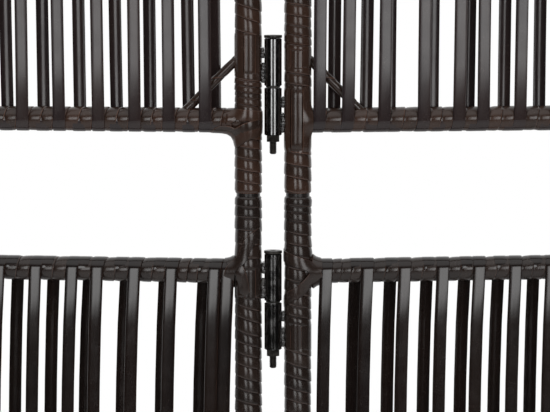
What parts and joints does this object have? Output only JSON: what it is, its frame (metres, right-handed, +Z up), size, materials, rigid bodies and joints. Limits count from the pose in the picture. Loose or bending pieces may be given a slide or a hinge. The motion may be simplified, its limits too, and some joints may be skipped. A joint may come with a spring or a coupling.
{
  "type": "folding screen",
  "caption": "Free-standing folding screen: hinged panels of stacked steel-tube frames, wrapped with flat plastic rattan and filled with upright strips.",
  "frame": {"origin": "on the floor, under the middle of the screen at its stored fold", "axes": "+X along the screen to the right seen from the front, -Y towards the front, +Z up"},
  "size_m": [1.2238, 0.0742, 1.706],
  "materials": {
    "wrapped_strip": "dark brown flat plastic rattan, satin, faintly ribbed, wound edge over edge",
    "infill_strip": "dark brown flat plastic rattan, satin, ribbed lengthwise with a fine embossed grain",
    "frame_tube": "black powder coat on steel tube",
    "hinge_enamel": "gloss black enamel over welded steel",
    "black_fastener": "black coated steel, half matt",
    "end_plug": "moulded black polyethylene"
  },
  "bodies": {
    "middle_panel": {"left_hinge_bolts": "black_fastener", "left_hinge_nuts": "black_fastener", "left_hinge_washers": "black_fastener", "middle_end_plugs": "end_plug", "middle_lower_barrels": "hinge_enamel", "middle_lower_bottom_rail": "frame_tube", "middle_lower_corner_braces": "frame_tube", "middle_lower_infill": "infill_strip", "middle_lower_left_post": "frame_tube", "middle_lower_right_post": "frame_tube", "middle_lower_top_rail": "frame_tube", "middle_lower_wraps": "wrapped_strip", "middle_spigots": "frame_tube", "middle_upper_barrels": "hinge_enamel", "middle_upper_bottom_rail": "frame_tube", "middle_upper_corner_braces": "frame_tube", "middle_upper_infill": "infill_strip", "middle_upper_left_post": "frame_tube", "middle_upper_right_post": "frame_tube", "middle_upper_top_rail": "frame_tube", "middle_upper_wraps": "wrapped_strip", "right_hinge_bolts": "black_fastener", "right_hinge_nuts": "black_fastener", "right_hinge_washers": "black_fastener"},
    "left_panel": {"left_end_plugs": "end_plug", "left_lower_bottom_rail": "frame_tube", "left_lower_corner_braces": "frame_tube", "left_lower_infill": "infill_strip", "left_lower_left_post": "frame_tube", "left_lower_right_post": "frame_tube", "left_lower_top_rail": "frame_tube", "left_lower_wraps": "wrapped_strip", "left_spigots": "frame_tube", "left_upper_barrels": "hinge_enamel", "left_upper_bottom_rail": "frame_tube", "left_upper_corner_braces": "frame_tube", "left_upper_infill": "infill_strip", "left_upper_left_post": "frame_tube", "left_upper_right_post": "frame_tube", "left_upper_top_rail": "frame_tube", "left_upper_wraps": "wrapped_strip"},
    "right_panel": {"right_end_plugs": "end_plug", "right_lower_barrels": "hinge_enamel", "right_lower_bottom_rail": "frame_tube", "right_lower_corner_braces": "frame_tube", "right_lower_infill": "infill_strip", "right_lower_left_post": "frame_tube", "right_lower_right_post": "frame_tube", "right_lower_top_rail": "frame_tube", "right_lower_wraps": "wrapped_strip", "right_spigots": "frame_tube", "right_upper_bottom_rail": "frame_tube", "right_upper_corner_braces": "frame_tube", "right_upper_infill": "infill_strip", "right_upper_left_post": "frame_tube", "right_upper_right_post": "frame_tube", "right_upper_top_rail": "frame_tube", "right_upper_wraps": "wrapped_strip"}
  },
  "joints": [
    {"name": "left_fold", "type": "hinge", "parent": "middle_panel", "child": "left_panel", "pos_m": [-0.20697, -0.02909, 0], "axis": [0, 0, 1], "range_deg": [-89, 121]},
    {"name": "right_fold", "type": "hinge", "parent": "middle_panel", "child": "right_panel", "pos_m": [0.20697, 0.02909, 0], "axis": [0, 0, 1], "range_deg": [-89, 121]}
  ]
}
